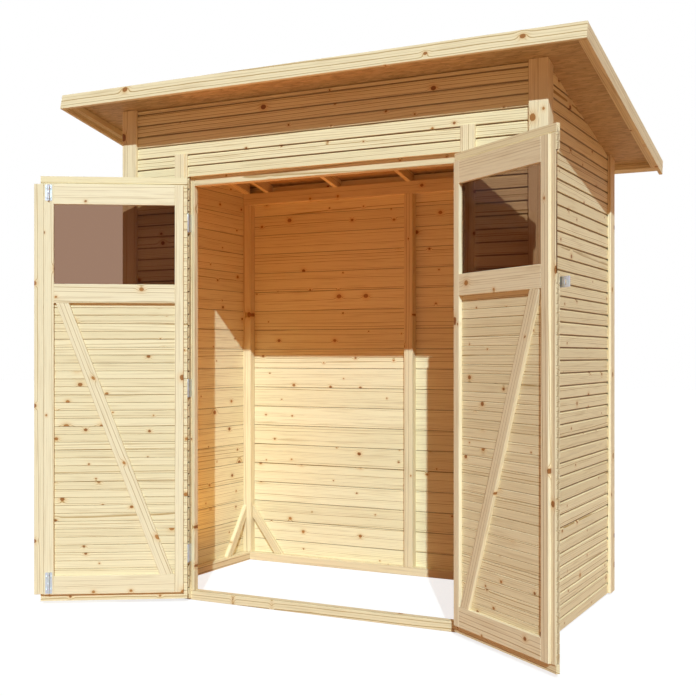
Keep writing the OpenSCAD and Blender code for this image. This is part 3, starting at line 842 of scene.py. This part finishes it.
def turned(side, foot, axis, heights, radii, steps):
    # circles of the given radii at the given heights along an axis
    angle = np.arange(steps) / steps * 2 * math.pi
    circle = np.stack([np.cos(angle), np.sin(angle)], -1)
    flat = [foot[k] for k in range(3) if k != axis]
    return stacked(side, np.multiply.outer(radii, circle) + flat, foot[axis] + np.array(heights), axis)


def taperedRod(side, foot, tall, radius, tip, taper, steps=24):
    # an upright cylinder that narrows to its tips at both ends
    return turned(side, foot, 2, [0, taper, tall - taper, tall], [tip, radius, radius, tip], steps)


def screw(side, place, axis, sense):
    # a low dome: its heights at set shares of the head's radius, with the rim sunk below its seat
    reach = np.array([1, 1, 0.85, 0.6, 0.3, 0.08])
    heights = np.array([0, 0, 0.45, 0.8, 0.97, 1]) * ironwork["screwRise"] * sense
    heights[0] = -ironwork["screwSunk"] * sense
    return turned(side, place, axis, heights, reach * ironwork["screwHead"], 14)


# slide bolts: a rod held on a plate by two straps, with a knob

slideBolt = {
    "plate": 0.002,
    "rod": 0.0043,
    "rodClear": 0.0006,
    "rodTaper": 0.0015,
    "strapsAt": (0.2, 0.8),  # shares of the bolt's height
    "strapTall": 0.011,
    "strapThick": 0.0018,
    "strapFoot": 0.0085,
    "strapLift": 0.0005,
    "strapClear": 0.0004,
    "screwAside": 0.0092,
    "screwUp": 0.0017,
    "knobRise": [0, 0.003, 0.0035, 0.0065, 0.007],
    "knobReach": [0.0022, 0.0022, 0.0036, 0.0036, 0.0026],
}


def strap(side, middle, b0, radius, low, high):
    # a band over a rod: flat feet on both sides and a half circle between them, carried up the rod
    thickness = slideBolt["strapThick"]
    angle = np.linspace(0, math.pi, 13)
    arc = np.stack([np.cos(angle), np.sin(angle)], -1)
    rise = radius + slideBolt["strapLift"]
    footOut = radius + slideBolt["strapFoot"]
    outline = np.concatenate([
        [(footOut, 0), (footOut, thickness), (radius + thickness, thickness)],
        arc * (radius + thickness) + (0, rise),
        [(-radius - thickness, thickness), (-footOut, thickness), (-footOut, 0), (-radius, 0)],
        arc[::-1] * radius + (0, rise), [(radius, 0)]])
    return stacked(side, np.stack([outline, outline]) + (middle, b0), (low, high), 2)


boltParts = []
for solid in nodeSolids("left_door_bolts"):
    bolt = toLeaf(-1, solid)
    low = bolt.min(0)
    high = bolt.max(0)
    middle = (low[0] + high[0]) / 2
    back = low[1] + slideBolt["plate"]
    tall = high[2] - low[2]
    rod = slideBolt["rod"]
    rodB = back + rod + slideBolt["rodClear"]
    boltParts.append(plate(-1, low, (high[0], back, high[2]), 1))
    boltParts.append(taperedRod(-1, (middle, rodB, low[2]), tall, rod, rod * 0.7, slideBolt["rodTaper"]))
    for share in slideBolt["strapsAt"]:
        centre = low[2] + tall * share
        half = slideBolt["strapTall"] / 2
        boltParts.append(strap(-1, middle, back, rod + slideBolt["strapClear"], centre - half, centre + half))
        for sense in (-1, 1):
            spot = (middle + sense * slideBolt["screwAside"], back + slideBolt["screwUp"], centre)
            boltParts.append(screw(-1, spot, 1, 1))
    knob = (middle, rodB + rod * 0.6, low[2] + tall * 0.5)
    boltParts.append(turned(-1, knob, 1, slideBolt["knobRise"], slideBolt["knobReach"], 16))
piece("leftDoorSlideBolts", boltParts, zinc, "left_door", "ironwork", "left_door_bolts", smooth=True)

# hasp: a slotted strap on a block, the slot cut by joining the outer and inner outlines into one ring

haspLook = {
    "strapRounding": 0.004,
    "slotRounding": 0.003,
    "leafOver": 0.003,  # how far the fixed leaf laps over the strap's hinge
    "pin": 0.0024,
    "pinTip": 0.0018,
    "pinTaper": 0.0008,
    "pinIn": 0.002,
    "pinAside": 0.001,
    "screwsAt": (0.25, 0.65),  # shares of the block's width
    "screwAside": 0.01,
}

hasp = toLeaf(1, nodeSolids("right_door_hasp")[0])
low = hasp.min(0)
high = hasp.max(0)
haspA = levelsOf(hasp[:, 0])
haspB = levelsOf(hasp[:, 1])
strapFront, strapBack, seatBack = haspB[0], haspB[1], haspB[-1]
blockEnd = haspA[1]
slotA = haspA[2:4]
slotZ = levelsOf(hasp[:, 2])[1:3]


def slotted(side, low, high, slotLow, slotHigh):
    # outer and inner outlines with the same number of points, front and back, joined round
    middle = (np.array(low) + np.array(high)) / 2
    slotMiddle = (np.array(slotLow) + np.array(slotHigh)) / 2
    outer = roundedRectangle(high[0] - low[0], high[2] - low[2], haspLook["strapRounding"], 4)
    inner = roundedRectangle(slotHigh[0] - slotLow[0], slotHigh[2] - slotLow[2], haspLook["slotRounding"], 4)
    outer += middle[[0, 2]]
    inner += slotMiddle[[0, 2]]
    heights = [low[1], high[1], high[1], low[1]]
    return stacked(side, np.stack([outer, outer, inner, inner]), heights, 1, joined=True)


pinTall = high[2] - low[2] - 2 * haspLook["pinIn"]
pinFoot = (blockEnd + haspLook["pinAside"], strapFront, low[2] + haspLook["pinIn"])
haspParts = [
    plate(1, (low[0], strapBack, low[2]), (blockEnd, seatBack, high[2]), 1),
    slotted(1, (blockEnd, strapFront, low[2]), (high[0], strapBack, high[2]),
            (slotA[0], strapFront, slotZ[0]), (slotA[1], strapBack, slotZ[1])),
    plate(1, (low[0], strapFront, low[2]), (blockEnd + haspLook["leafOver"], strapBack, high[2]), 1),
    taperedRod(1, pinFoot, pinTall, haspLook["pin"], haspLook["pinTip"], haspLook["pinTaper"], 16),
]
for share in haspLook["screwsAt"]:
    for sense in (-1, 1):
        spot = (low[0] + (blockEnd - low[0]) * share, strapFront,
                (low[2] + high[2]) / 2 + sense * haspLook["screwAside"])
        haspParts.append(screw(1, spot, 1, -1))
piece("rightDoorHaspStrap", haspParts, zinc, "right_door", "ironwork", "right_door_hasp", smooth=True)

# butt hinges: knuckles round the axis, a plate on the edge and pin ends

buttHinge = {
    "knuckle": 0.005,  # radius
    "knuckleEdge": 0.0006,
    "knuckleGap": 0.0005,  # half the gap between two knuckles
    "plateFrom": 0.0048,  # where the plate and the knuckles' own webs begin and end, off the axis
    "webFrom": 0.001,
    "webTo": 0.007,
    "plateRounding": 0.002,
    "webRounding": 0.0008,
    "plateThick": 0.002,
    "fixedEdge": 0.0025,  # from the axis to the outer face of the fixed and the moving plate
    "leafPlate": (0.0005, 0.0025),
    "pinHead": 0.0034,
    "pinRise": 0.0024,
}


def knuckle(side, axis, low, high):
    # a cylinder round the axis with eased ends
    edge = buttHinge["knuckleEdge"]
    radius = buttHinge["knuckle"]
    return taperedRod(side, (axis[0], axis[1], low), high - low, radius, radius - edge, edge)


def pinEnd(side, axis, z, sense):
    # a dome on the end of the pin
    heights = np.array([0, 0.3, 0.7, 0.95, 1.0]) * buttHinge["pinRise"] * sense
    radii = np.array([1, 0.98, 0.75, 0.35, 0.05]) * buttHinge["pinHead"]
    return turned(side, (axis[0], axis[1], z), 2, heights, radii, 16)


def hingeHalf(side, axis, reach, near, far, low, high, inner):
    # the middle third of the knuckles, or the two outer thirds with the pin, on a plate
    look = buttHinge
    third = (high - low) / 3
    gap = look["knuckleGap"]
    rows = [(low + third + gap, low + 2 * third - gap)] if inner else [
        (low, low + third - gap), (low + 2 * third + gap, high)]
    parts = [knuckle(side, axis, start, end) for start, end in rows]
    parts.append(plate(side, (near, axis[1] + look["plateFrom"], low), (far, reach, high), 0,
                       look["plateRounding"]))
    parts += [plate(side, (near, axis[1] + look["webFrom"], start), (far, axis[1] + look["webTo"], end), 0,
                    look["webRounding"]) for start, end in rows]
    if not inner:
        parts += [pinEnd(side, axis, low, -1), pinEnd(side, axis, high, 1)]
    return parts


fixedParts = []
for solid in nodeSolids("hinge_plates"):
    low = solid.min(0)
    high = solid.max(0)
    side = 1 if low[0] > 0 else -1
    axis = ((low[0] + high[0]) / 2, low[1] + buttHinge["knuckle"])
    edge = axis[0] + side * buttHinge["fixedEdge"]
    near, far = sorted((edge - side * buttHinge["plateThick"], edge))
    fixedParts += hingeHalf(0, axis, high[1], near, far, low[2], high[2], False)
piece("fixedHingeHalves", fixedParts, zinc, "shed", "ironwork", "hinge_plates", smooth=True)

for side, leaf in [(-1, "left_door"), (1, "right_door")]:
    parts = []
    for solid in nodeSolids(leaf + "_hinges"):
        hinge = toLeaf(side, solid)
        low = hinge.min(0)
        high = hinge.max(0)
        parts += hingeHalf(side, (0, 0), high[1], *buttHinge["leafPlate"], low[2], high[2], True)
    piece(pieceName(leaf + "_hinges", "Halves"), parts, zinc, leaf, "ironwork", leaf + "_hinges", smooth=True)
print("shed: ironwork made")

# roof covering: felt laid in courses that lap down the slope, with clout nails along its edges

roofCovering = {
    "courses": 3,
    "lap": 0.075,
    "sheet": 0.0022,
    "lapRise": 1.02,  # in sheets
    "under": 0.0001,  # between the deck and the sheet
    "wave": 0.0006,
    "edgeIn": 0.001,
    "stepsAcross": 90,
    "stepsDown": 26,
    "nailSpacing": 0.16,
    "nailInset": 0.02,
    "nailHead": 0.0048,
    "nailRise": [0.0, 0.0034, 0.0042, 0.0045],
    "nailSides": 10,
}

feltSolid = nodeSolids("roof_felt")[0]
feltX = (feltSolid[:, 0].min(), feltSolid[:, 0].max())
edgePoints = feltSolid[feltSolid[:, 0] == feltX[0]][:, 1:]
order = np.argsort(edgePoints[:, 0])
frontEdge = edgePoints[order[:2]]
backEdge = edgePoints[order[2:]]
feltStart = frontEdge[np.argmin(frontEdge[:, 1])]  # underside at the front
feltEnd = backEdge[np.argmin(backEdge[:, 1])]
feltLength = np.linalg.norm(feltEnd - feltStart)
downSlope = (feltEnd - feltStart) / feltLength
offRoof = np.array([-downSlope[1], downSlope[0]])


def onRoof(x, s, n):
    # x across, s down the slope from the front edge, n off the deck
    yz = feltStart + s[..., None] * downSlope + n[..., None] * offRoof
    return np.concatenate([x[..., None], yz], -1)


def feltCourse(number):
    # a thin sheet: its section down the slope, raised where it laps over the course below, is
    # carried across the roof, and its height is the lap plus a low two-way wave
    look = roofCovering
    last = number == look["courses"] - 1
    exposed = feltLength / look["courses"]
    lapEnd = (number + 1) * exposed
    start = max(0.0, number * exposed - look["lap"])
    end = min(feltLength, lapEnd + (0 if last else look["lap"]))
    s = np.linspace(start, end, look["stepsDown"])
    x = np.linspace(feltX[0] + look["edgeIn"], feltX[1] - look["edgeIn"], look["stepsAcross"])
    down = np.broadcast_to(s, (len(x), len(s)))
    wide = np.broadcast_to(x[:, None], down.shape)
    over = np.clip((down - (lapEnd - look["lap"])) / (2 * look["lap"]), 0, 1)
    lift = look["under"] + look["sheet"] * look["lapRise"] * (over * over * (3 - 2 * over)) * (not last)
    wave = look["wave"] * (np.sin(wide * 7.3 + number * 2.1) * np.cos(down * 9.1 + number)
                           + 0.5 * np.sin(wide * 17.0 + down * 5.0))
    wave = (wave - wave.min()) * 0.5
    top = onRoof(wide, down, lift + wave + look["sheet"])
    return loft(np.concatenate([top, onRoof(wide, down, lift)[:, ::-1]], 1))


coveringParts = [feltCourse(number) for number in range(roofCovering["courses"])]
piece("roofFeltCourses", coveringParts, felt, "shed", "roof_felt", "roof_felt")

inset = roofCovering["nailInset"]
spacing = roofCovering["nailSpacing"]
nailsAcross = np.linspace(feltX[0] + inset, feltX[1] - inset, round((feltX[1] - feltX[0]) / spacing))
nailsDown = np.linspace(inset, feltLength - inset, round(feltLength / spacing))[1:-1]
spots = [(x, s) for s in (inset, feltLength - inset) for x in nailsAcross]
spots += [(x, s) for x in (feltX[0] + inset, feltX[1] - inset) for s in nailsDown]
angle = np.arange(roofCovering["nailSides"]) / roofCovering["nailSides"] * 2 * math.pi
headReach = np.array([1, 1, 0.8, 0.3]) * roofCovering["nailHead"]
headAcross = np.outer(headReach, np.cos(angle))
headDown = np.outer(headReach, np.sin(angle))
headRise = np.broadcast_to(np.array(roofCovering["nailRise"])[:, None], headDown.shape)
nailParts = [loft(onRoof(x + headAcross, s + headDown, headRise)) for x, s in spots]
piece("roofCloutNails", nailParts, zinc, "shed", "ironwork", smooth=True)

for node, material in [("roof_deck", strandBoard), ("left_door_glass", tintedGlass),
                       ("right_door_glass", tintedGlass)]:
    frame["nodes"][node].data.materials.clear()
    frame["nodes"][node].data.materials.append(material)
print("shed: roof covering made")

# floor, light and background

studio = {
    # where each lamp stands, seen from the shed: the main one, and a low one that lights the back
    "suns": {
        "studioSun": {"away": (0.535, -1.0, 0.785), "strength": 3.4, "colour": (0.69, 0.91, 1.0)},
        "backSun": {"away": (-0.6, 1.0, 0.18), "strength": 2.0, "colour": (0.8, 1.0, 0.97)},
    },
    "sunSoftness": 0.6,  # degrees
    "skyColour": (1.0, 0.58, 0.36, 1),
    "skyStrength": 0.265,
    "floorReach": 30.0,
    "floorColour": (0.8, 0.8, 0.79, 1),
    "floorBounce": (0.58, 0.28, 0.13, 1),
    "floorShade": 0.4,  # how much of the floor's own shading the camera sees
    "floorGlow": 1.3,
    # lamps on the ground inside, with their spread in degrees
    "insideFills": {
        "insideFill": {"watts": 2.1, "colour": (1.0, 0.2, 0.0), "spread": 80.0, "alongX": (-0.86, 0.2),
                       "alongY": (0.04, 0.4)},
        "cornerFill": {"watts": 0.9, "colour": (1.0, 0.48, 0.0), "spread": 110.0, "alongX": (-0.82, -0.6),
                       "alongY": (0.2, 0.6)},
    },
    "fillHeight": 0.01,
}


def seenDirectly(tree):  # 1 for what the camera sees, also in metal and through glass
    ray = addNode(tree, "ShaderNodeLightPath").outputs
    return calc(tree, "MAXIMUM", ray["Is Camera Ray"],
                calc(tree, "MAXIMUM", ray["Is Glossy Ray"], ray["Is Transmission Ray"]))


def mixShader(tree, factor, first, second):
    return addNode(tree, "ShaderNodeMixShader", {0: factor, 1: first.outputs[0], 2: second.outputs[0]})


def addLamp(name, kind, strength, colour):
    data = bpy.data.lights.new(name, kind)
    data.energy = strength
    data.color = colour
    lamp = bpy.data.objects.new(name, data)
    scene.collection.objects.link(lamp)
    return lamp


floorMesh = bpy.data.meshes.new("studioFloor")
reach = studio["floorReach"]
floorMesh.from_pydata([(-reach, -reach, 0), (reach, -reach, 0), (reach, reach, 0), (-reach, reach, 0)], [],
                      [(0, 1, 2, 3)])
floorMaterial, tree, shader = newMaterial("studioFloor")
feed(tree, shader, {"Base Color": studio["floorColour"], "Roughness": 0.9, "Specular IOR Level": 0.0})
bounce = addNode(tree, "ShaderNodeBsdfDiffuse", {"Color": studio["floorBounce"]})
glow = addNode(tree, "ShaderNodeEmission", {"Color": (1, 1, 1, 1), "Strength": studio["floorGlow"]})
pale = mixShader(tree, 1 - studio["floorShade"], shader, glow)
mixed = mixShader(tree, seenDirectly(tree), bounce, pale)
put(tree, tree.nodes["Material Output"].inputs["Surface"], mixed.outputs[0])
floorMesh.materials.append(floorMaterial)
floor = bpy.data.objects.new("studioFloor", floorMesh)
scene.collection.objects.link(floor)

world = bpy.data.worlds.new("studioWorld")
scene.world = world
world.use_nodes = True
tree = world.node_tree
sky = tree.nodes["Background"]
feed(tree, sky, {"Color": studio["skyColour"], "Strength": studio["skyStrength"]})
white = addNode(tree, "ShaderNodeBackground", {"Color": (1, 1, 1, 1), "Strength": 1.0})
mixed = mixShader(tree, seenDirectly(tree), sky, white)
put(tree, tree.nodes["World Output"].inputs["Surface"], mixed.outputs[0])

for name, sun in studio["suns"].items():
    lamp = addLamp(name, "SUN", sun["strength"], sun["colour"])
    lamp.data.angle = math.radians(studio["sunSoftness"])
    x, y, z = sun["away"]
    lamp.rotation_euler = (math.atan2(math.hypot(x, y), z), 0, math.atan2(x, -y))
for name, fill in studio["insideFills"].items():
    lamp = addLamp(name, "AREA", fill["watts"], fill["colour"])
    lamp.data.shape = "RECTANGLE"
    lamp.data.size = fill["alongX"][1] - fill["alongX"][0]
    lamp.data.size_y = fill["alongY"][1] - fill["alongY"][0]
    lamp.data.spread = math.radians(fill["spread"])
    lamp.location = (sum(fill["alongX"]) / 2, sum(fill["alongY"]) / 2, studio["fillHeight"])
    lamp.rotation_euler = (math.pi, 0, 0)
    lamp.visible_camera = False
    lamp.visible_glossy = False
    lamp.visible_transmission = False
print("shed: floor and light set")
